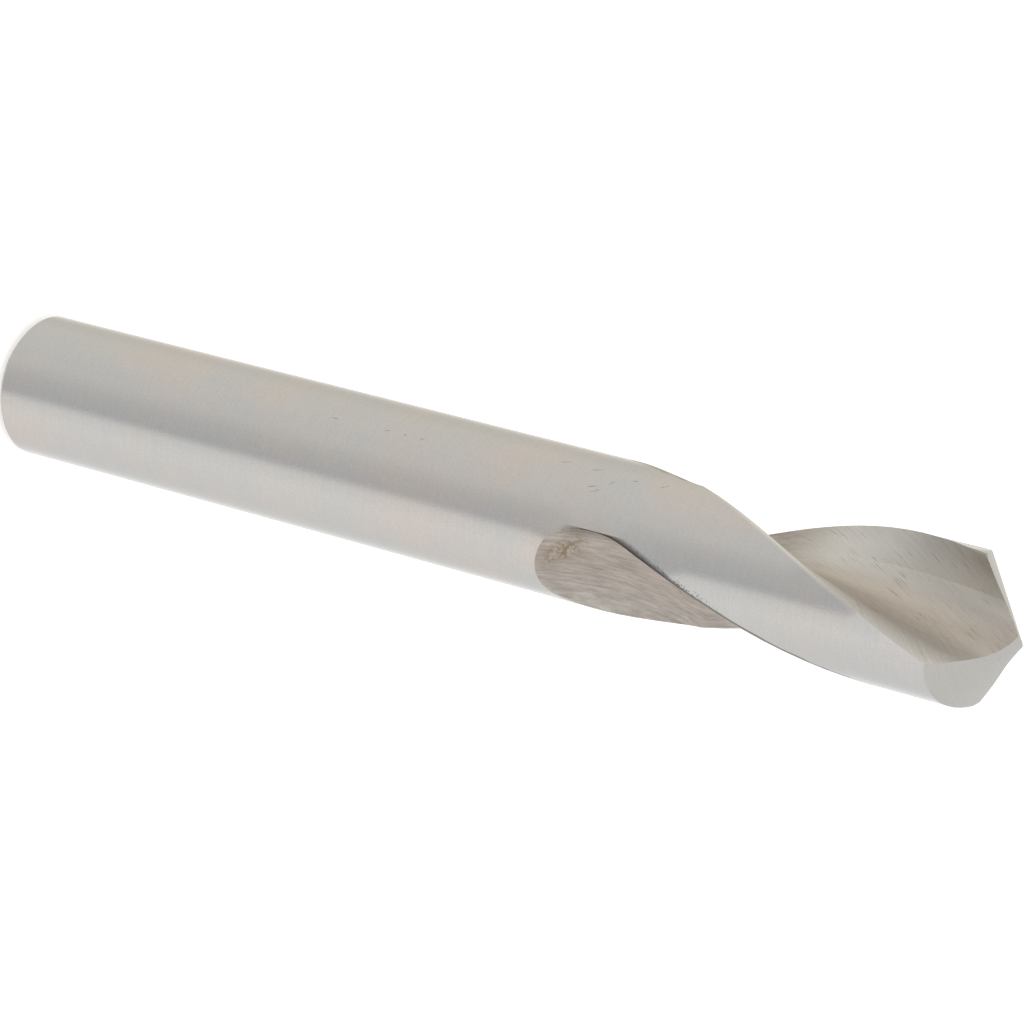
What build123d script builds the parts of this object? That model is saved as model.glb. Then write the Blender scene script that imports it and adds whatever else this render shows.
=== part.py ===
from build123d import *
from math import atan, cos, pi, radians, sin, sqrt, tan
import os

os.makedirs("parts", exist_ok=True)

# Spotting drill, one ground bar of solid tool steel standing on its shank end.
# All sizes are in millimetres and degrees, with Z along the axis from the shank end to the point.
# The two cutting lips lie along X, and the drill cuts turning anticlockwise seen from the point.

# Overall sizes
overall_length = 98.4
drill_diameter = 12.7
shank_end_chamfer = 0.6

# Back taper, what the diameter loses from the lips to the plain shank
back_taper = 0.04

# Point, ground as two relieved cones that meet in the chisel edge
point_angle = 120.0
lip_relief_angle = 18.4
lip_offset = 0.55
flank_cone_angle = 129.2
flank_cone_setback = 0.99
corner_break = 0.22
corner_break_angle = 35.0

# Flutes, cut by the rim of a grinding wheel that is carried along a helix
flute_lead = 94.1
flute_ground_length = 26.2
flute_direction_at_point = 34.5
web_taper_angle = 1.72

# Rim of the wheel, a V with a rounded tip this near the drill's axis and a shoulder on its heel side
rake_wall_angle = 10.6
heel_wall_angle = 74.5
shoulder_angle = 52.0
shoulder_radius = 1.0
rim_tip_radius = 3.32
rim_tip_distance = 0.05
rim_tip_offset = -0.49

# Run-out, where the wheel leaves the bar on its own radius
wheel_radius = 24.6
wheel_exit_arc = 50.0

# Reach of the rim outline outside the bar, up to the shoulder and over all
shoulder_clearance = 1.3
cutter_clearance = 6.0

# Sizes that follow from the ones above
drill_radius = drill_diameter / 2
shank_radius = drill_radius - back_taper / 2
lip_slope = 1 / tan(radians(point_angle / 2))
relief_slope = tan(radians(lip_relief_angle))
helix_angle = atan(2 * pi * drill_radius / flute_lead)
wheel_height = overall_length - flute_ground_length
wheel_direction = flute_direction_at_point - 360 * flute_ground_length / flute_lead
wall_reach = drill_radius + cutter_clearance

# Flank cone, touching the lip line and leaning back from it by the relief
cone_half_angle = radians(flank_cone_angle / 2)
lip_line = Vector(1, 0, -lip_slope).normalized()
flank_normal = Vector(lip_slope, -relief_slope, 1).normalized()
cone_axis = lip_line * cos(cone_half_angle) - flank_normal * sin(cone_half_angle)

# Height of the cone tip that puts the middle of the chisel edge at the overall length
across = flank_cone_setback * cone_axis.X - lip_offset * cone_axis.Y
square_term = cone_axis.Z**2 - cos(cone_half_angle) ** 2
linear_term = 2 * across * cone_axis.Z
constant_term = across**2 - cos(cone_half_angle) ** 2 * (flank_cone_setback**2 + lip_offset**2)
root_term = sqrt(linear_term**2 - 4 * square_term * constant_term)
cone_tip_height = overall_length + (linear_term + root_term) / (2 * square_term)

# Height where the plain shank ends, just short of the run-out of the wheel's rim
rim_centre_distance = rim_tip_distance + wheel_radius
run_out_reach = sqrt(wheel_radius**2 - (rim_centre_distance - drill_radius) ** 2)
shank_length = wheel_height - run_out_reach * cos(helix_angle)

# Outline of the bar, with the shank end chamfer and the broken outer corners of the lips
lip_corner_reach = sqrt(drill_radius**2 - lip_offset**2)
lip_corner_height = cone_tip_height - lip_slope * (lip_corner_reach + flank_cone_setback)
break_height = lip_corner_height - corner_break
blank_height = break_height + drill_radius / tan(radians(corner_break_angle))

with BuildPart() as spotting_drill:
    with BuildSketch(Plane.XZ):
        with BuildLine():
            Polyline(
                (0, 0),
                (shank_radius - shank_end_chamfer, 0),
                (shank_radius, shank_end_chamfer),
                (shank_radius, shank_length),
                (drill_radius, break_height),
                (0, blank_height),
                close=True,
            )
        make_face()
    revolve(axis=Axis.Z)

    # Both flanks, the second half a turn round from the first
    cone_tip = (-flank_cone_setback, lip_offset, cone_tip_height)
    flank_plane = Plane(origin=cone_tip, x_dir=(0, 1, 0), z_dir=cone_axis)
    cone_length = blank_height + drill_diameter
    for turn in (0, 180):
        with Locations(Location((0, 0, 0), (0, 0, turn)) * flank_plane.location):
            Cone(
                bottom_radius=0,
                top_radius=cone_length * tan(cone_half_angle),
                height=cone_length,
                align=(Align.CENTER, Align.CENTER, Align.MIN),
                mode=Mode.INTERSECT,
            )

# Rim outline in the plane that holds the wheel's own axis, tilted by the helix angle
wheel_plane = Plane(
    origin=(0, 0, wheel_height),
    x_dir=(1, 0, 0),
    z_dir=(0, sin(helix_angle), cos(helix_angle)),
)
rake_end = (
    rim_tip_distance + wall_reach * cos(radians(rake_wall_angle)),
    rim_tip_offset - wall_reach * sin(radians(rake_wall_angle)),
)
shoulder_reach = drill_radius + shoulder_clearance
shoulder = (
    rim_tip_distance + shoulder_reach * cos(radians(heel_wall_angle)),
    rim_tip_offset + shoulder_reach * sin(radians(heel_wall_angle)),
)
heel_end = (
    shoulder[0] + cutter_clearance * cos(radians(shoulder_angle)),
    shoulder[1] + cutter_clearance * sin(radians(shoulder_angle)),
)

with BuildSketch(wheel_plane) as rim_outline:
    with BuildLine():
        Polyline(
            rake_end,
            (rim_tip_distance, rim_tip_offset),
            shoulder,
            heel_end,
            (rake_end[0], heel_end[1]),
            close=True,
        )
    make_face()
    corners = rim_outline.vertices().sort_by_distance(wheel_plane.origin)
    fillet(corners[0], rim_tip_radius)
    fillet(rim_outline.vertices().sort_by_distance(corners[1].center())[0], shoulder_radius)

# Helix that draws in towards the axis, as the web thins to the point.
# Its radius is wide beside that drift, so the wheel keeps its tilt all the way.
guide_radius = wheel_radius + wall_reach
with BuildLine(Plane.XY.offset(wheel_height)) as flute_helix:
    Helix(
        pitch=flute_lead,
        height=flute_ground_length + cutter_clearance,
        radius=guide_radius,
        cone_angle=-web_taper_angle,
    )

wheel_centre = wheel_plane.from_local_coords((rim_centre_distance, 0, 0))
wheel_axis = Axis(wheel_centre, -wheel_plane.y_dir)

with BuildPart() as flute:
    sweep(rim_outline.sketch, path=flute_helix.line, is_frenet=True)
    revolve(rim_outline.sketch, axis=wheel_axis, revolution_arc=wheel_exit_arc)

with spotting_drill:
    with PolarLocations(0, 2, start_angle=wheel_direction):
        add(flute.part, mode=Mode.SUBTRACT)

spotting_drill.part.label = "spotting_drill"
export_step(spotting_drill.part, "parts/spotting_drill.step")
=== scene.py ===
from math import cos, pi, radians, tan

import bpy
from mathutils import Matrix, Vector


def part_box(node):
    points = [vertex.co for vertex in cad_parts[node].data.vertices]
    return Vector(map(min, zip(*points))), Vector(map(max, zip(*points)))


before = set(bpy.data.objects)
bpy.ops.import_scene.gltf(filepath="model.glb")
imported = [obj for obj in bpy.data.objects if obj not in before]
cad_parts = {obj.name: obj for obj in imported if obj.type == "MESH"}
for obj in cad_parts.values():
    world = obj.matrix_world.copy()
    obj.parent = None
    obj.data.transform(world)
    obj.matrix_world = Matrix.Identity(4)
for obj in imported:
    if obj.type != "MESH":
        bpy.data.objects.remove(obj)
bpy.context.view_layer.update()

bl_info = {
    "name": "Spotting drill finish",
    "version": (1, 0, 0),
    "blender": (4, 5, 0),
    "location": "3D View > Sidebar > Spotting Drill",
    "description": "Gives a ground spotting drill its steel finish and sets it on a plain studio stage",
    "category": "Object",
}

LOW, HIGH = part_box("spotting_drill")

# The drill as it was ground, in millimetres up from the shank end, with the twist in radians per millimetre
MM_PER_M = 1000.0
BAR_RADIUS = (HIGH.x - LOW.x) / 2 * MM_PER_M
TIP_HEIGHT = HIGH.z * MM_PER_M
TWIST = 2 * pi / 94.1
FLUTE_LENGTH = 26.2
WEB_THINNING = 0.03

# Where the grinding wheel stops in a flute: its height, the way it faces, its lean
# and how far its centre is from the axis of the drill
WHEEL_HEIGHT = TIP_HEIGHT - FLUTE_LENGTH
WHEEL_DIRECTION = radians(34.5) - TWIST * FLUTE_LENGTH
WHEEL_TILT = radians(23.0)
WHEEL_CENTRE = 24.65

# The wheel's rim, a V with a rounded tip: the tip's centre, radius and half angle,
# and the way the V faces
RIM_ARC_CENTRE = (4.22, 2.11)
RIM_ARC_RADIUS = 3.32
RIM_ARC_HALF = radians(47.5)
RIM_FACES = radians(32.0)

# Sizes of the patterns in the steel, in millimetres, with the slant of the flute's lines and scratches
# and the height of the relief.
# Real grinding lines are a few hundredths apart, and are drawn as coarse as they need to show.
PATCH_SIZE = 9.0
GRAIN_SIZE = 0.16
BAR_LINE_WIDTH = 0.13
BAR_LINE_LENGTH = 2.5
FLUTE_LINE_WIDTH = 0.12
FLUTE_LINE_LENGTH = 6.0
RUN_LINE_WIDTH = 0.24
RUN_LINE_LENGTH = 2.4
SCRATCH_WIDTH = 0.13
SCRATCH_LENGTH = 2.6
SCRATCH_PATCH = 1.8
FLUTE_LINE_SLANT = 0.6
RELIEF_HEIGHT = 0.02

# How far the lines and the grain darken and lighten the steel
RUN_LINE_DEPTH = 1.25
FLUTE_LINE_DEPTH = 0.4
BAR_LINE_DEPTH = 0.12
GRAIN_DEPTH = 0.22

# How far the noise is shifted, one way in each flute, so that the two differ
LINE_SHIFT = 3.0
SCRATCH_SHIFT = 7.0

# Tones across the flute and its run-out, with painted shade and painted reflection bands, in degrees from the
# bottom, heel side first
ACROSS_START = -110
ACROSS_END = 95
FLUTE_SHADED_TONES = (
    (-95, "E4E2DE"), (-65, "C8C2BA"), (-45, "D6CFC7"), (-15, "C4BBB0"), (5, "CEC6BC"), (20, "CCC6BE"),
    (45, "DCDAD4"), (70, "DAD8D4"), (95, "D0CDC8"),
)
RUN_OUT_SHADED_TONES = (
    (-108, "CAC4BD"), (-95, "B4ADA6"), (-60, "B2A9A1"), (-15, "C0BAB2"), (20, "BCB4AC"), (50, "B0A9A0"),
    (95, "ADA59D"),
)

# Nicks in the bar: height, angle round the bar, length and lean from the axis
NICK_WIDTH = 0.16
NICKS = (
    (35.1, -146, 0.9, 5), (40.5, -147, 0.7, 5), (42.3, -147, 0.35, 0), (44.0, -147, 0.6, -5),
    (57.4, -161, 1.3, 22), (60.5, -161, 1.4, 22), (61.0, -144, 1.2, 22), (61.4, -141, 1.1, 28),
    (62.4, -151, 0.8, 50), (64.2, -159, 0.7, 5), (66.9, -161, 1.1, 35), (79.7, -112, 0.4, 0),
    (59.9, -106, 0.3, 25), (60.7, -109, 0.35, 20), (61.8, -110, 1.0, -5),
)
WORN_SIZE = 0.25

# Painted shade line, with specks of grime, beside the cutting side of a flute, and a painted highlight on its
# heel side.
# Each fades out over a height of its own, and the shade line is wide at first and narrow at its top.
GRIME_AND_SHADE_TOP = 76.0
GRIME_AND_SHADE_FADE = 4.0
SHADE_LINE_REACH = (0.55, 0.27)
SPECK_SIZE = 0.13
SPECK_REACH = 0.9
HIGHLIGHT_TOP = 88.0
HIGHLIGHT_BOTTOM = 70.0
HIGHLIGHT_FADE = 6.0

# Stain at the blind end of the run-out: its middle, lean, half sizes and the size of its blots
STAIN_PLACE = (0.3, -5.9, 59.9)
STAIN_LEAN = radians(-36)
STAIN_REACH = (1.3, 2.5, 2.9)
STAIN_BLOT = 0.4

# Light of the studio by compass direction, in degrees round from the drill's lip
TENT_TONES = (
    (-180, "E8E5E1"), (-140, "E1E0DE"), (-115, "D3D2D0"), (-89, "CBCBCC"), (-78, "F1F0EE"), (-55, "FAF8F6"),
    (-15, "F4F2F0"), (12, "EDEDEC"), (30, "EFEFEE"), (47, "FFFFFF"), (82, "FFFDF8"), (93, "E6E3DA"),
    (106, "DDD8CF"), (118, "DEDAD2"), (142, "E8E5DE"), (180, "E8E5E1"),
)


class DrillSteelSettings(bpy.types.PropertyGroup):
    bar_tone: bpy.props.StringProperty(
        name="Bar tone", description="Ground steel of the shank and the lands, as an sRGB hex code",
        default="CECECD")
    warm_tone: bpy.props.StringProperty(
        name="Warm tone", description="Faint warm patches on the bar, as an sRGB hex code", default="D6CEC8")
    flank_tone: bpy.props.StringProperty(
        name="Flank tone", description="Ground steel of the two flanks, as an sRGB hex code",
        default="C9C7C3")
    # Painted shade: a dark brown mixed in behind the outer corners of the lips, near the point
    corner_shade_tone: bpy.props.StringProperty(
        name="Used tone",
        description="Browned steel behind the outer corners of the lips, as an sRGB hex code",
        default="746C60")
    nick_tone: bpy.props.StringProperty(
        name="Nick tone", description="Dull bottoms of the nicks in the bar, as an sRGB hex code",
        default="8B8781")
    # Grime specks, and the painted shade line along the flutes' cutting side
    grime_and_shade_tone: bpy.props.StringProperty(
        name="Grime tone", description="Dark grime and specks beside the flutes, as an sRGB hex code",
        default="4C4843")
    # Painted highlight: the bright line along the flutes' heel side
    heel_highlight_tone: bpy.props.StringProperty(
        name="Burr tone", description="Bright burr on the flutes' heel side, as an sRGB hex code",
        default="F2EDE0")
    stain_tone: bpy.props.StringProperty(
        name="Stain tone", description="Brown stain in the run-out, as an sRGB hex code", default="8A7558")
    roughness: bpy.props.FloatProperty(
        name="Roughness", description="Roughness of the finely ground bar", default=0.14, min=0, max=1,
        subtype="FACTOR")
    flute_roughness: bpy.props.FloatProperty(
        name="Flute roughness", description="Roughness of the coarser ground flutes and flanks", default=0.4,
        min=0, max=1, subtype="FACTOR")


class DrillStageSettings(bpy.types.PropertyGroup):
    camera_place: bpy.props.FloatVectorProperty(
        name="Camera place", description="Where the camera stands", subtype="TRANSLATION", unit="LENGTH",
        size=3, default=(-0.1037, -0.25172, 0.21039))
    camera_turn: bpy.props.FloatVectorProperty(
        name="Camera turn", description="How the camera is turned", subtype="EULER", unit="ROTATION",
        size=3, default=(radians(-23.579), radians(-56.576), radians(95.139)))
    lens: bpy.props.FloatProperty(
        name="Lens", description="Focal length in millimetres", default=132.3, min=1, unit="CAMERA")


def colour(hex_code):
    """Turns an sRGB hex colour into linear RGBA."""
    channels = [int(hex_code[i:i + 2], 16) / 255 for i in (0, 2, 4)]
    linear = [c / 12.92 if c <= 0.04045 else ((c + 0.055) / 1.055) ** 2.4 for c in channels]
    return (*linear, 1.0)


def add_node(tree, kind, inputs=None, **settings):
    """Adds a node with its settings, and sets or links its inputs."""
    node = tree.nodes.new(kind)
    for name, value in settings.items():
        setattr(node, name, value)
    for key, value in (inputs or {}).items():
        if isinstance(value, bpy.types.NodeSocket):
            tree.links.new(value, node.inputs[key])
        else:
            node.inputs[key].default_value = value
    return node


def set_ramp(node, tones, start, end):
    """Places tones along a colour ramp, each at its angle between the ramp's two ends."""
    elements = node.color_ramp.elements
    while len(elements) < len(tones):
        elements.new(0.5)
    for element, (angle, tone) in zip(elements, tones):
        element.position = (angle - start) / (end - start)
        element.color = colour(tone)


class OBJECT_OT_drill_steel(bpy.types.Operator):
    """Gives the spotting drill its ground high-speed steel"""
    bl_idname = "object.drill_steel"
    bl_label = "Finish the drill"

    def execute(self, context):
        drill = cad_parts["spotting_drill"]
        # High-speed steel, ground: fine grinding leaves the bar a bright satin that mirrors the studio
        # softly, and the coarse wheel leaves the flutes and flanks dull, warmer and lined
        material = bpy.data.materials.new("ground_high_speed_steel")
        material.use_nodes = True
        tree = material.node_tree
        tree.nodes.clear()
        settings = context.scene.drill_steel
        place = self.find_places(tree)
        steel = self.tone_steel(tree, place, settings)
        steel = self.draw_grinding_lines(tree, place, steel)
        steel = self.mark_wear_and_painted_light(tree, place, steel, settings)
        bump = add_node(tree, "ShaderNodeBump", {
            "Strength": 0.35, "Distance": RELIEF_HEIGHT / MM_PER_M, "Height": steel["relief"]})
        shader = add_node(tree, "ShaderNodeBsdfPrincipled", {
            "Base Color": steel["colour"], "Metallic": 1.0, "Roughness": steel["roughness"],
            "Normal": bump.outputs["Normal"]})
        add_node(tree, "ShaderNodeOutputMaterial", {"Surface": shader.outputs["BSDF"]})
        drill.data.materials.clear()
        drill.data.materials.append(material)
        return {"FINISHED"}

    def find_places(self, tree):
        """Works out, for a point of the steel, how high it lies and where in which ground surface."""
        coordinates = add_node(tree, "ShaderNodeTexCoord")
        point = add_node(tree, "ShaderNodeVectorMath", {
            0: coordinates.outputs["Object"], "Scale": MM_PER_M}, operation="SCALE")
        axes = add_node(tree, "ShaderNodeSeparateXYZ", {"Vector": point.outputs["Vector"]})
        angle = add_node(tree, "ShaderNodeMath", {0: axes.outputs["Y"], 1: axes.outputs["X"]},
                         operation="ARCTAN2")
        arc = add_node(tree, "ShaderNodeMath", {0: angle.outputs["Value"], 1: BAR_RADIUS},
                       operation="MULTIPLY")
        from_wheel_height = add_node(tree, "ShaderNodeVectorMath", {
            0: point.outputs["Vector"], 1: (0, 0, WHEEL_HEIGHT)}, operation="SUBTRACT")
        rise = add_node(tree, "ShaderNodeSeparateXYZ", {"Vector": from_wheel_height.outputs["Vector"]})

        # Where the wheel stops, seen along the wheel's own axis, with both flutes turned to lie alike.
        # Past the run-out, this place no longer follows the flute, and the next one takes over.
        stopped = add_node(tree, "ShaderNodeVectorRotate", {
            "Vector": from_wheel_height.outputs["Vector"], "Angle": -WHEEL_DIRECTION},
            rotation_type="Z_AXIS")
        stopped_side = add_node(tree, "ShaderNodeVectorMath", {0: stopped.outputs["Vector"], 1: (1, 1, 0)},
                                operation="DOT_PRODUCT")
        stopped_sign = add_node(tree, "ShaderNodeMath", {0: stopped_side.outputs["Value"]}, operation="SIGN")
        flip = add_node(tree, "ShaderNodeCombineXYZ", {
            "X": stopped_sign.outputs["Value"], "Y": stopped_sign.outputs["Value"], "Z": 1.0})
        alike = add_node(tree, "ShaderNodeVectorMath", {
            0: stopped.outputs["Vector"], 1: flip.outputs["Vector"]}, operation="MULTIPLY")
        leant = add_node(tree, "ShaderNodeVectorRotate", {
            "Vector": alike.outputs["Vector"], "Angle": WHEEL_TILT}, rotation_type="X_AXIS")
        from_wheel = add_node(tree, "ShaderNodeSeparateXYZ", {"Vector": leant.outputs["Vector"]})
        depth = add_node(tree, "ShaderNodeMath", {0: WHEEL_CENTRE, 1: from_wheel.outputs["X"]},
                         operation="SUBTRACT")
        spoke = add_node(tree, "ShaderNodeCombineXYZ", {
            "X": depth.outputs["Value"], "Y": from_wheel.outputs["Z"]})
        spoke_length = add_node(tree, "ShaderNodeVectorMath", {0: spoke.outputs["Vector"]},
                                operation="LENGTH")
        rim_depth = add_node(tree, "ShaderNodeMath", {0: WHEEL_CENTRE, 1: spoke_length.outputs["Value"]},
                             operation="SUBTRACT")
        run_outline = add_node(tree, "ShaderNodeCombineXYZ", {
            "X": rim_depth.outputs["Value"], "Y": from_wheel.outputs["Y"]})
        in_helix = add_node(tree, "ShaderNodeMath", {0: from_wheel.outputs["Z"], 1: 0.0},
                            operation="GREATER_THAN")

        # Along the helix, turned back by the twist and drawn out by the thinning of the web
        twist = add_node(tree, "ShaderNodeMath", {
            0: rise.outputs["Z"], 1: -TWIST, 2: -WHEEL_DIRECTION}, operation="MULTIPLY_ADD")
        turned = add_node(tree, "ShaderNodeVectorRotate", {
            "Vector": from_wheel_height.outputs["Vector"], "Angle": twist.outputs["Value"]},
            rotation_type="Z_AXIS")
        turned_side = add_node(tree, "ShaderNodeVectorMath", {0: turned.outputs["Vector"], 1: (1, 1, 0)},
                               operation="DOT_PRODUCT")
        turned_sign = add_node(tree, "ShaderNodeMath", {0: turned_side.outputs["Value"]}, operation="SIGN")
        helix_alike = add_node(tree, "ShaderNodeVectorMath", {
            0: turned.outputs["Vector"], "Scale": turned_sign.outputs["Value"]}, operation="SCALE")
        section = add_node(tree, "ShaderNodeSeparateXYZ", {"Vector": helix_alike.outputs["Vector"]})
        thinning = add_node(tree, "ShaderNodeMath", {
            0: rise.outputs["Z"], 1: WEB_THINNING, 2: section.outputs["X"]}, operation="MULTIPLY_ADD")
        web_flat = add_node(tree, "ShaderNodeCombineXYZ", {
            "X": thinning.outputs["Value"], "Y": section.outputs["Y"]})
        lean_twist = add_node(tree, "ShaderNodeMath", {
            0: section.outputs["Y"], 1: -TWIST * tan(WHEEL_TILT)}, operation="MULTIPLY")
        untwisted = add_node(tree, "ShaderNodeVectorRotate", {
            "Vector": web_flat.outputs["Vector"], "Angle": lean_twist.outputs["Value"]},
            rotation_type="Z_AXIS")
        helix_outline = add_node(tree, "ShaderNodeVectorMath", {
            0: untwisted.outputs["Vector"], 1: (1, 1 / cos(WHEEL_TILT), 0)}, operation="MULTIPLY")

        # One outline of the wheel's rim for both stretches, and the angle round its rounded tip
        rim_place = add_node(tree, "ShaderNodeMix", {
            0: in_helix.outputs["Value"], 4: run_outline.outputs["Vector"],
            5: helix_outline.outputs["Vector"]}, data_type="VECTOR")
        facing_tip = add_node(tree, "ShaderNodeVectorRotate", {
            "Vector": rim_place.outputs[1], "Center": (*RIM_ARC_CENTRE, 0), "Angle": pi - RIM_FACES},
            rotation_type="Z_AXIS")
        from_arc = add_node(tree, "ShaderNodeVectorMath", {
            0: facing_tip.outputs["Vector"], 1: (*RIM_ARC_CENTRE, 0)}, operation="SUBTRACT")
        arc_axes = add_node(tree, "ShaderNodeSeparateXYZ", {"Vector": from_arc.outputs["Vector"]})
        across = add_node(tree, "ShaderNodeMath", {0: arc_axes.outputs["Y"], 1: arc_axes.outputs["X"]},
                          operation="ARCTAN2")

        # Distance outside the rim, in millimetres: nothing in a flute, and growing over the bar beside it
        steepness = add_node(tree, "ShaderNodeMath", {0: across.outputs["Value"]}, operation="ABSOLUTE")
        past_arc = add_node(tree, "ShaderNodeMath", {0: steepness.outputs["Value"], 1: RIM_ARC_HALF},
                            operation="SUBTRACT")
        on_wall = add_node(tree, "ShaderNodeMath", {0: past_arc.outputs["Value"], 1: 0.0},
                           operation="MAXIMUM")
        wall_share = add_node(tree, "ShaderNodeMath", {0: on_wall.outputs["Value"]}, operation="COSINE")
        arc_distance = add_node(tree, "ShaderNodeVectorMath", {0: from_arc.outputs["Vector"]},
                                operation="LENGTH")
        gap = add_node(tree, "ShaderNodeMath", {
            0: arc_distance.outputs["Value"], 1: wall_share.outputs["Value"], 2: -RIM_ARC_RADIUS},
            operation="MULTIPLY_ADD")

        # Which surface the point belongs to
        flat = add_node(tree, "ShaderNodeVectorMath", {0: point.outputs["Vector"], 1: (1, 1, 0)},
                        operation="MULTIPLY")
        radius = add_node(tree, "ShaderNodeVectorMath", {0: flat.outputs["Vector"]}, operation="LENGTH")
        full_round = add_node(tree, "ShaderNodeMapRange", {
            "Value": radius.outputs["Value"], "From Min": BAR_RADIUS - 0.14, "From Max": BAR_RADIUS - 0.1})
        uncut = add_node(tree, "ShaderNodeMapRange", {
            "Value": gap.outputs["Value"], "From Min": 0.025, "From Max": 0.045})
        bar = add_node(tree, "ShaderNodeMath", {
            0: full_round.outputs["Result"], 1: uncut.outputs["Result"]}, operation="MINIMUM")
        surface = add_node(tree, "ShaderNodeNewGeometry")
        facing = add_node(tree, "ShaderNodeSeparateXYZ", {"Vector": surface.outputs["Normal"]})
        upward = add_node(tree, "ShaderNodeMapRange", {
            "Value": facing.outputs["Z"], "From Min": 0.55, "From Max": 0.6})
        at_point = add_node(tree, "ShaderNodeMath", {0: axes.outputs["Z"], 1: WHEEL_HEIGHT},
                            operation="GREATER_THAN")
        flank = add_node(tree, "ShaderNodeMath", {0: upward.outputs["Result"], 1: at_point.outputs["Value"]},
                         operation="MULTIPLY")
        helix_share = add_node(tree, "ShaderNodeMapRange", {
            "Value": from_wheel.outputs["Z"], "From Min": 0.0, "From Max": 9.0},
            interpolation_type="SMOOTHSTEP")
        return {
            "helix_share": helix_share.outputs["Result"],
            "point": point.outputs["Vector"], "height": axes.outputs["Z"], "arc": arc.outputs["Value"],
            "across": across.outputs["Value"], "gap": gap.outputs["Value"], "rim_place": rim_place.outputs[1],
            "side": stopped_sign.outputs["Value"], "bar": bar.outputs["Value"],
            "flank": flank.outputs["Value"],
        }

    def tone_steel(self, tree, place, settings):
        """Tones each ground surface, from the bright bar to the shaded bottom of the flutes."""
        patches = add_node(tree, "ShaderNodeTexNoise", {
            "Vector": place["point"], "Scale": 1 / PATCH_SIZE, "Detail": 2.0, "Roughness": 0.6})
        warm_share = add_node(tree, "ShaderNodeMapRange", {
            "Value": patches.outputs["Fac"], "From Min": 0.42, "From Max": 0.66, "To Max": 0.75})
        bar = add_node(tree, "ShaderNodeMix", {
            0: warm_share.outputs["Result"], 6: colour(settings.bar_tone), 7: colour(settings.warm_tone)},
            data_type="RGBA")

        # Round the rim's outline, from the heel over the bottom to the rake wall, in steel tones with painted
        # shade and painted reflection bands
        flute_share = add_node(tree, "ShaderNodeMapRange", {
            "Value": place["across"], "From Min": radians(ACROSS_START), "From Max": radians(ACROSS_END)})
        flute = add_node(tree, "ShaderNodeValToRGB", {"Fac": flute_share.outputs["Result"]})
        set_ramp(flute, FLUTE_SHADED_TONES, ACROSS_START, ACROSS_END)
        run_out = add_node(tree, "ShaderNodeValToRGB", {"Fac": flute_share.outputs["Result"]})
        set_ramp(run_out, RUN_OUT_SHADED_TONES, ACROSS_START, ACROSS_END)
        ground = add_node(tree, "ShaderNodeMix", {
            0: place["helix_share"], 6: run_out.outputs["Color"], 7: flute.outputs["Color"]},
            data_type="RGBA")
        # Painted shade, darkening the steel towards the outer corners of the lips near the point
        near_point = add_node(tree, "ShaderNodeMapRange", {
            "Value": place["height"], "From Min": TIP_HEIGHT - 12, "From Max": TIP_HEIGHT - 2})
        near_corner = add_node(tree, "ShaderNodeMapRange", {
            "Value": place["across"], "From Min": radians(45), "From Max": radians(85), "To Max": 0.55})
        corner_shade_share = add_node(tree, "ShaderNodeMath", {
            0: near_point.outputs["Result"], 1: near_corner.outputs["Result"]}, operation="MULTIPLY")
        corner_shaded = add_node(tree, "ShaderNodeMix", {
            0: corner_shade_share.outputs["Value"], 6: ground.outputs[2], 7: colour(settings.corner_shade_tone)},
            data_type="RGBA")
        with_bar = add_node(tree, "ShaderNodeMix", {
            0: place["bar"], 6: corner_shaded.outputs[2], 7: bar.outputs[2]}, data_type="RGBA")
        steel = add_node(tree, "ShaderNodeMix", {
            0: place["flank"], 6: with_bar.outputs[2], 7: colour(settings.flank_tone)}, data_type="RGBA")
        smooth = add_node(tree, "ShaderNodeMath", {0: place["bar"], 1: place["flank"]}, operation="SUBTRACT")
        roughness = add_node(tree, "ShaderNodeMapRange", {
            "Value": smooth.outputs["Value"], "To Min": settings.flute_roughness,
            "To Max": settings.roughness})
        return {"colour": steel.outputs[2], "roughness": roughness.outputs["Result"]}

    def draw_grinding_lines(self, tree, place, steel):
        """Draws the fine lines that the wheels left, round the bar and along the flutes."""
        rim = add_node(tree, "ShaderNodeSeparateXYZ", {"Vector": place["rim_place"]})
        width = add_node(tree, "ShaderNodeMath", {0: rim.outputs["X"], 1: rim.outputs["Y"]},
                         operation="SUBTRACT")
        slanted = add_node(tree, "ShaderNodeMath", {
            0: place["height"], 1: FLUTE_LINE_SLANT, 2: width.outputs["Value"]}, operation="MULTIPLY_ADD")
        along = add_node(tree, "ShaderNodeCombineXYZ", {
            "X": slanted.outputs["Value"], "Y": place["height"], "Z": place["side"]})
        flute_lines = add_node(tree, "ShaderNodeMapping", {
            "Vector": along.outputs["Vector"],
            "Scale": (1 / FLUTE_LINE_WIDTH, 1 / FLUTE_LINE_LENGTH, LINE_SHIFT)})
        round_lines = add_node(tree, "ShaderNodeMapping", {
            "Vector": place["point"],
            "Scale": (1 / BAR_LINE_LENGTH, 1 / BAR_LINE_LENGTH, 1 / BAR_LINE_WIDTH)})
        flat_share = add_node(tree, "ShaderNodeMath", {0: place["bar"], 1: place["flank"]},
                              operation="MAXIMUM")
        line_place = add_node(tree, "ShaderNodeMix", {
            0: flat_share.outputs["Value"], 4: flute_lines.outputs["Vector"],
            5: round_lines.outputs["Vector"]}, data_type="VECTOR")
        fine_lines = add_node(tree, "ShaderNodeTexNoise", {
            "Vector": line_place.outputs[1], "Scale": 1.0, "Detail": 3.0, "Roughness": 0.65})

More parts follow.
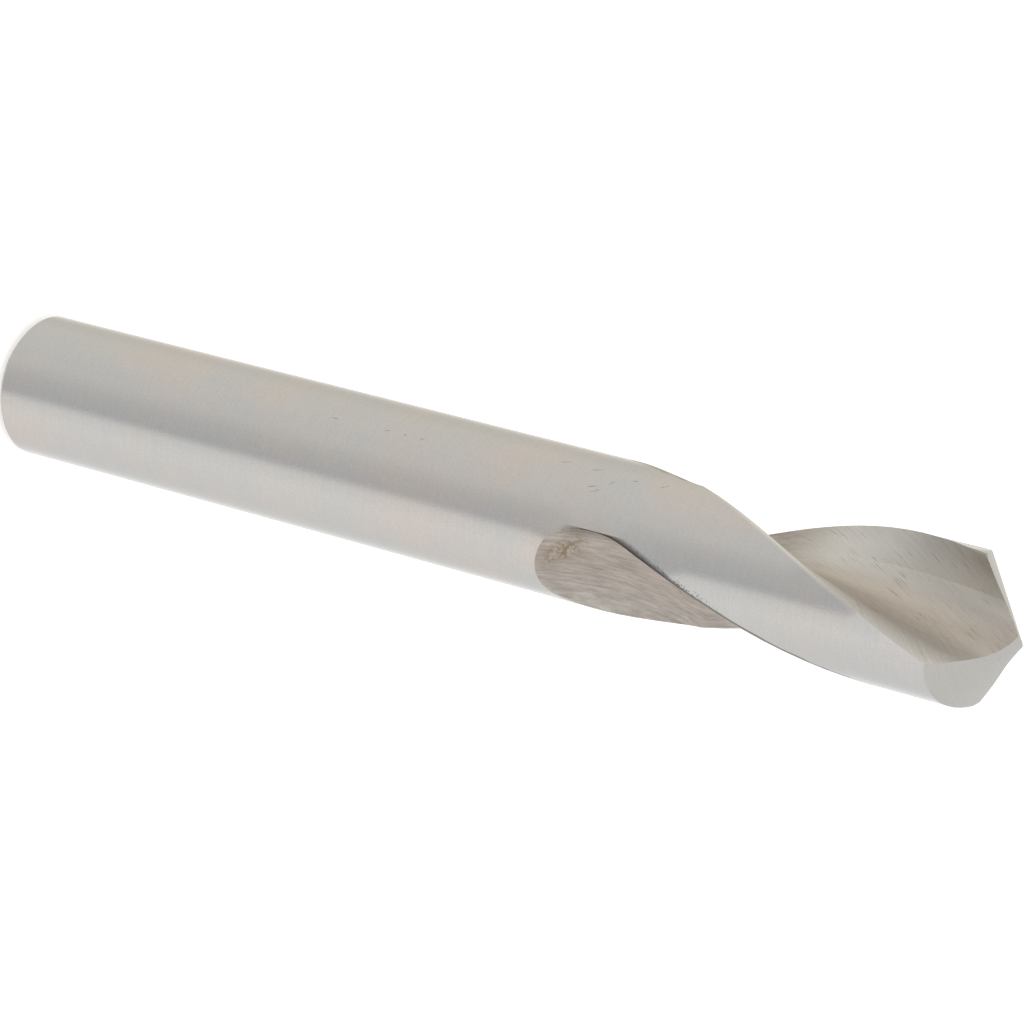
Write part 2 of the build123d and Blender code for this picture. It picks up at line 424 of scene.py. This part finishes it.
        # Short coarse streaks in the run-outs, which follow the turning wheel.
        # They run across both sides of the rim's V, so that they are about as wide on either.
        run_across = add_node(tree, "ShaderNodeVectorMath", {0: place["rim_place"], 1: (0.5, -1, 0)},
                              operation="DOT_PRODUCT")
        run_along = add_node(tree, "ShaderNodeCombineXYZ", {
            "X": run_across.outputs["Value"], "Y": place["height"], "Z": place["side"]})
        run_place = add_node(tree, "ShaderNodeMapping", {
            "Vector": run_along.outputs["Vector"],
            "Scale": (1 / RUN_LINE_WIDTH, 1 / RUN_LINE_LENGTH, LINE_SHIFT)})
        run_lines = add_node(tree, "ShaderNodeTexNoise", {
            "Vector": run_place.outputs["Vector"], "Scale": 1.0, "Detail": 3.0, "Roughness": 0.8,
            "Distortion": 0.3})
        groove_share = add_node(tree, "ShaderNodeMath", {
            0: place["helix_share"], 1: flat_share.outputs["Value"]}, operation="MAXIMUM")
        lines = add_node(tree, "ShaderNodeMix", {
            0: groove_share.outputs["Value"], 2: run_lines.outputs["Fac"], 3: fine_lines.outputs["Fac"]})

        # Scratches in loose patches, only where the flute is past its run-out
        scratch_place = add_node(tree, "ShaderNodeMapping", {
            "Vector": along.outputs["Vector"],
            "Scale": (1 / SCRATCH_WIDTH, 1 / SCRATCH_LENGTH, SCRATCH_SHIFT)})
        scratches = add_node(tree, "ShaderNodeTexNoise", {
            "Vector": scratch_place.outputs["Vector"], "Scale": 1.0, "Detail": 1.0})
        cut = add_node(tree, "ShaderNodeMath", {0: place["helix_share"], 1: flat_share.outputs["Value"]},
                       operation="SUBTRACT", use_clamp=True)
        scratched = add_node(tree, "ShaderNodeMapRange", {
            "Value": scratches.outputs["Fac"], "From Min": 0.62, "From Max": 0.78, "To Max": 0.6})
        scratch_patch = add_node(tree, "ShaderNodeTexNoise", {
            "Vector": place["point"], "Scale": 1 / SCRATCH_PATCH, "Detail": 1.0})
        patch_share = add_node(tree, "ShaderNodeMapRange", {
            "Value": scratch_patch.outputs["Fac"], "From Min": 0.46, "From Max": 0.62})
        in_patch = add_node(tree, "ShaderNodeMath", {
            0: scratched.outputs["Result"], 1: patch_share.outputs["Result"]}, operation="MULTIPLY")
        scratch_share = add_node(tree, "ShaderNodeMath", {
            0: in_patch.outputs["Value"], 1: cut.outputs["Value"]}, operation="MULTIPLY")
        grain = add_node(tree, "ShaderNodeTexNoise", {
            "Vector": place["point"], "Scale": 1 / GRAIN_SIZE, "Detail": 2.0, "Roughness": 0.7})

        # Lines darken and lighten the steel, most in the run-outs and least on the bar
        groove_depth = add_node(tree, "ShaderNodeMapRange", {
            "Value": place["helix_share"], "To Min": RUN_LINE_DEPTH, "To Max": FLUTE_LINE_DEPTH})
        line_depth = add_node(tree, "ShaderNodeMapRange", {
            "Value": flat_share.outputs["Value"], "To Min": groove_depth.outputs["Result"],
            "To Max": BAR_LINE_DEPTH})
        line_shade = add_node(tree, "ShaderNodeMath", {0: lines.outputs["Result"], 1: 0.5},
                              operation="SUBTRACT")
        line_tone = add_node(tree, "ShaderNodeMath", {
            0: line_shade.outputs["Value"], 1: line_depth.outputs["Result"], 2: 1.0},
            operation="MULTIPLY_ADD")
        grain_shade = add_node(tree, "ShaderNodeMath", {0: grain.outputs["Fac"], 1: 0.5},
                               operation="SUBTRACT")
        tone = add_node(tree, "ShaderNodeMath", {
            0: grain_shade.outputs["Value"], 1: GRAIN_DEPTH, 2: line_tone.outputs["Value"]},
            operation="MULTIPLY_ADD")
        grooved_tone = add_node(tree, "ShaderNodeMath", {
            0: tone.outputs["Value"], 1: scratch_share.outputs["Value"]}, operation="SUBTRACT")
        shaded = add_node(tree, "ShaderNodeVectorMath", {
            0: steel["colour"], "Scale": grooved_tone.outputs["Value"]}, operation="SCALE")
        relief = add_node(tree, "ShaderNodeMath", {0: lines.outputs["Result"], 1: grain.outputs["Fac"]},
                          operation="ADD")
        return {**steel, "colour": shaded.outputs["Vector"], "relief": relief.outputs["Value"]}

    def mark_wear_and_painted_light(self, tree, place, steel, settings):
        """Adds the nicks in the bar, a painted shade line with specks of grime and a painted highlight beside
        the flutes, and the stain in the run-out.
        """
        on_bar = add_node(tree, "ShaderNodeCombineXYZ", {"X": place["arc"], "Y": place["height"]})
        marks = 0.0
        for height, angle, length, lean in NICKS:
            nick_place = add_node(tree, "ShaderNodeMapping", {
                "Vector": on_bar.outputs["Vector"], "Location": (radians(angle) * BAR_RADIUS, height, 0),
                "Rotation": (0, 0, radians(lean)), "Scale": (NICK_WIDTH, length, 1)}, vector_type="TEXTURE")
            distance = add_node(tree, "ShaderNodeVectorMath", {0: nick_place.outputs["Vector"]},
                                operation="LENGTH")
            nick = add_node(tree, "ShaderNodeMapRange", {
                "Value": distance.outputs["Value"], "From Min": 0.5, "From Max": 0.15, "To Max": 0.7})
            joined = add_node(tree, "ShaderNodeMath", {0: nick.outputs["Result"], 1: marks},
                              operation="MAXIMUM")
            marks = joined.outputs["Value"]
        worn = add_node(tree, "ShaderNodeTexNoise", {
            "Vector": place["point"], "Scale": 1 / WORN_SIZE, "Detail": 2.0})
        worn_share = add_node(tree, "ShaderNodeMapRange", {
            "Value": worn.outputs["Fac"], "From Min": 0.35, "From Max": 0.5})
        nicks = add_node(tree, "ShaderNodeMath", {0: marks, 1: worn_share.outputs["Result"]},
                         operation="MULTIPLY")

        # Painted shade line along the cutting side of a flute, widest where it runs out, with loose specks of
        # grime beside it
        cutting_side = add_node(tree, "ShaderNodeMapRange", {
            "Value": place["across"], "From Min": radians(-20), "From Max": radians(10)})
        shade_line_reach = add_node(tree, "ShaderNodeMapRange", {
            "Value": place["height"], "From Min": GRIME_AND_SHADE_TOP - 2 * GRIME_AND_SHADE_FADE,
            "From Max": GRIME_AND_SHADE_TOP - GRIME_AND_SHADE_FADE, "To Min": SHADE_LINE_REACH[0], "To Max": SHADE_LINE_REACH[1]})
        shade_line_core = add_node(tree, "ShaderNodeMath", {0: shade_line_reach.outputs["Result"], 1: 0.2},
                              operation="MULTIPLY")
        painted_shade_line = add_node(tree, "ShaderNodeMapRange", {
            "Value": place["gap"], "From Min": shade_line_reach.outputs["Result"],
            "From Max": shade_line_core.outputs["Value"], "To Max": 0.95})
        near_edge = add_node(tree, "ShaderNodeMapRange", {
            "Value": place["gap"], "From Max": SPECK_REACH, "To Min": 0.42, "To Max": 0.76})
        grimy = add_node(tree, "ShaderNodeTexNoise", {
            "Vector": place["point"], "Scale": 1 / SPECK_SIZE, "Detail": 1.0})
        speck = add_node(tree, "ShaderNodeMath", {0: grimy.outputs["Fac"], 1: near_edge.outputs["Result"]},
                         operation="SUBTRACT")
        speck_height = add_node(tree, "ShaderNodeMapRange", {
            "Value": place["height"], "From Min": GRIME_AND_SHADE_TOP, "From Max": GRIME_AND_SHADE_TOP - GRIME_AND_SHADE_FADE,
            "To Max": 0.8})
        speck_share = add_node(tree, "ShaderNodeMapRange", {
            "Value": speck.outputs["Value"], "From Min": 0.0, "From Max": 0.08,
            "To Max": speck_height.outputs["Result"]})
        grime_and_shade_amount = add_node(tree, "ShaderNodeMath", {
            0: speck_share.outputs["Result"], 1: painted_shade_line.outputs["Result"]}, operation="MAXIMUM")
        bare_flank = add_node(tree, "ShaderNodeMath", {0: place["bar"], 1: place["flank"]},
                              operation="SUBTRACT", use_clamp=True)
        beside_flute = add_node(tree, "ShaderNodeMath", {
            0: cutting_side.outputs["Result"], 1: bare_flank.outputs["Value"]}, operation="MULTIPLY")
        edge_grime_and_shade = add_node(tree, "ShaderNodeMath", {
            0: grime_and_shade_amount.outputs["Value"], 1: beside_flute.outputs["Value"]}, operation="MULTIPLY")

        # Painted highlight: a bright line along the heel side, fading out at both ends
        heel_side = add_node(tree, "ShaderNodeMapRange", {
            "Value": place["across"], "From Min": radians(-60), "From Max": radians(-80)})
        highlight_reach = add_node(tree, "ShaderNodeMapRange", {
            "Value": place["gap"], "From Min": 0.4, "From Max": 0.1, "To Max": 0.8})
        highlight_side = add_node(tree, "ShaderNodeMath", {
            0: heel_side.outputs["Result"], 1: bare_flank.outputs["Value"]}, operation="MULTIPLY")
        highlight_rise = add_node(tree, "ShaderNodeMapRange", {
            "Value": place["height"], "From Min": HIGHLIGHT_TOP, "From Max": HIGHLIGHT_TOP - HIGHLIGHT_FADE})
        highlight_start = add_node(tree, "ShaderNodeMapRange", {
            "Value": place["height"], "From Min": HIGHLIGHT_BOTTOM, "From Max": HIGHLIGHT_BOTTOM + HIGHLIGHT_FADE})
        highlight_stretch = add_node(tree, "ShaderNodeMath", {
            0: highlight_rise.outputs["Result"], 1: highlight_start.outputs["Result"]}, operation="MULTIPLY")
        highlight_line = add_node(tree, "ShaderNodeMath", {
            0: highlight_reach.outputs["Result"], 1: highlight_stretch.outputs["Value"]}, operation="MULTIPLY")
        painted_highlight = add_node(tree, "ShaderNodeMath", {
            0: highlight_line.outputs["Value"], 1: highlight_side.outputs["Value"]}, operation="MULTIPLY")

        # Stain, kept off the bar round the run-out
        stain_place = add_node(tree, "ShaderNodeMapping", {
            "Vector": place["point"], "Location": STAIN_PLACE, "Rotation": (0, STAIN_LEAN, 0),
            "Scale": STAIN_REACH}, vector_type="TEXTURE")
        stain_distance = add_node(tree, "ShaderNodeVectorMath", {0: stain_place.outputs["Vector"]},
                                  operation="LENGTH")
        stain_reach = add_node(tree, "ShaderNodeMapRange", {
            "Value": stain_distance.outputs["Value"], "From Min": 1.0, "From Max": 0.4})
        blots = add_node(tree, "ShaderNodeTexNoise", {
            "Vector": place["point"], "Scale": 1 / STAIN_BLOT, "Detail": 4.0, "Roughness": 0.7})
        blot_share = add_node(tree, "ShaderNodeMapRange", {
            "Value": blots.outputs["Fac"], "From Min": 0.4, "From Max": 0.6})
        stain = add_node(tree, "ShaderNodeMath", {
            0: stain_reach.outputs["Result"], 1: blot_share.outputs["Result"]}, operation="MULTIPLY")
        cut_away = add_node(tree, "ShaderNodeMath", {0: 1.0, 1: place["bar"]}, operation="SUBTRACT")
        stain_share = add_node(tree, "ShaderNodeMath", {
            0: stain.outputs["Value"], 1: cut_away.outputs["Value"]}, operation="MULTIPLY")
        stained = add_node(tree, "ShaderNodeMix", {
            0: stain_share.outputs["Value"], 6: steel["colour"], 7: colour(settings.stain_tone)},
            data_type="RGBA")
        nicked = add_node(tree, "ShaderNodeMix", {
            0: nicks.outputs["Value"], 6: stained.outputs[2], 7: colour(settings.nick_tone)},
            data_type="RGBA")
        # Painted highlight along the heel side
        highlighted = add_node(tree, "ShaderNodeMix", {
            0: painted_highlight.outputs["Value"], 6: nicked.outputs[2], 7: colour(settings.heel_highlight_tone)}, data_type="RGBA")
        # Painted shade line and grime specks beside the flutes
        grimed_and_shaded = add_node(tree, "ShaderNodeMix", {
            0: edge_grime_and_shade.outputs["Value"], 6: highlighted.outputs[2], 7: colour(settings.grime_and_shade_tone)},
            data_type="RGBA")
        return {**steel, "colour": grimed_and_shaded.outputs[2]}


class OBJECT_OT_drill_stage(bpy.types.Operator):
    """Sets the floor, the studio light and the camera round the drill"""
    bl_idname = "object.drill_stage"
    bl_label = "Set the stage"

    def execute(self, context):
        scene = context.scene
        stage = scene.drill_stage
        bpy.ops.object.select_all(action="DESELECT")
        bpy.ops.mesh.primitive_plane_add(size=6)
        floor = context.active_object
        floor.name = "studio_floor"
        floor.visible_glossy = False
        # Card with a matt white coat: an even floor with no gloss, lifted to white for the camera only
        material = bpy.data.materials.new("matt_white_board")
        material.use_nodes = True
        tree = material.node_tree
        tree.nodes.clear()
        board = add_node(tree, "ShaderNodeBsdfDiffuse", {"Color": colour("F4F4F4")})
        light_path = add_node(tree, "ShaderNodeLightPath")
        lift = add_node(tree, "ShaderNodeMath", {0: light_path.outputs["Is Camera Ray"], 1: 0.5},
                        operation="MULTIPLY")
        glow = add_node(tree, "ShaderNodeEmission", {"Strength": lift.outputs["Value"]})
        both = add_node(tree, "ShaderNodeAddShader", {0: board.outputs["BSDF"], 1: glow.outputs["Emission"]})
        add_node(tree, "ShaderNodeOutputMaterial", {"Surface": both.outputs["Shader"]})
        floor.data.materials.append(material)
        self.light_the_studio(scene)

        bpy.ops.object.camera_add(location=stage.camera_place, rotation=stage.camera_turn)
        camera = context.active_object
        camera.name = "studio_camera"
        camera.data.lens = stage.lens
        camera.data.sensor_width = 36
        camera.data.clip_start = 0.01
        scene.camera = camera
        scene.view_settings.view_transform = "Standard"
        return {"FINISHED"}

    def light_the_studio(self, scene):
        """Lights the world as a tent of white cloth, its darker side ending in a straight edge."""
        world = bpy.data.worlds.new("soft_studio")
        world.use_nodes = True
        scene.world = world
        tree = world.node_tree
        tree.nodes.clear()
        coordinates = add_node(tree, "ShaderNodeTexCoord")
        direction = add_node(tree, "ShaderNodeSeparateXYZ", {"Vector": coordinates.outputs["Generated"]})
        azimuth = add_node(tree, "ShaderNodeMath", {0: direction.outputs["Y"], 1: direction.outputs["X"]},
                           operation="ARCTAN2")
        round_share = add_node(tree, "ShaderNodeMapRange", {
            "Value": azimuth.outputs["Value"], "From Min": -pi, "From Max": pi})
        tent = add_node(tree, "ShaderNodeValToRGB", {"Fac": round_share.outputs["Result"]})
        set_ramp(tent, TENT_TONES, -180, 180)
        soft = add_node(tree, "ShaderNodeBackground", {"Color": tent.outputs["Color"], "Strength": 1.0})
        white = add_node(tree, "ShaderNodeBackground", {"Color": (1, 1, 1, 1), "Strength": 1.0})
        light_path = add_node(tree, "ShaderNodeLightPath")
        seen = add_node(tree, "ShaderNodeMixShader", {
            0: light_path.outputs["Is Camera Ray"], 1: soft.outputs["Background"],
            2: white.outputs["Background"]})
        add_node(tree, "ShaderNodeOutputWorld", {"Surface": seen.outputs["Shader"]})


class VIEW3D_PT_spotting_drill(bpy.types.Panel):
    """Lists the drill's finish and stage in the sidebar"""
    bl_label = "Spotting Drill"
    bl_space_type = "VIEW_3D"
    bl_region_type = "UI"
    bl_category = "Spotting Drill"

    def draw(self, context):
        for settings, operator in (
                (context.scene.drill_steel, OBJECT_OT_drill_steel),
                (context.scene.drill_stage, OBJECT_OT_drill_stage)):
            box = self.layout.box()
            for name in type(settings).__annotations__:
                box.prop(settings, name)
            box.operator(operator.bl_idname)


CLASSES = (
    DrillSteelSettings,
    DrillStageSettings,
    OBJECT_OT_drill_steel,
    OBJECT_OT_drill_stage,
    VIEW3D_PT_spotting_drill,
)


def register():
    for part in CLASSES:
        bpy.utils.register_class(part)
    bpy.types.Scene.drill_steel = bpy.props.PointerProperty(type=DrillSteelSettings)
    bpy.types.Scene.drill_stage = bpy.props.PointerProperty(type=DrillStageSettings)


def unregister():
    del bpy.types.Scene.drill_stage
    del bpy.types.Scene.drill_steel
    for part in reversed(CLASSES):
        bpy.utils.unregister_class(part)


def main():
    register()
    bpy.ops.object.drill_steel()
    bpy.ops.object.drill_stage()


if __name__ == "__main__":
    main()
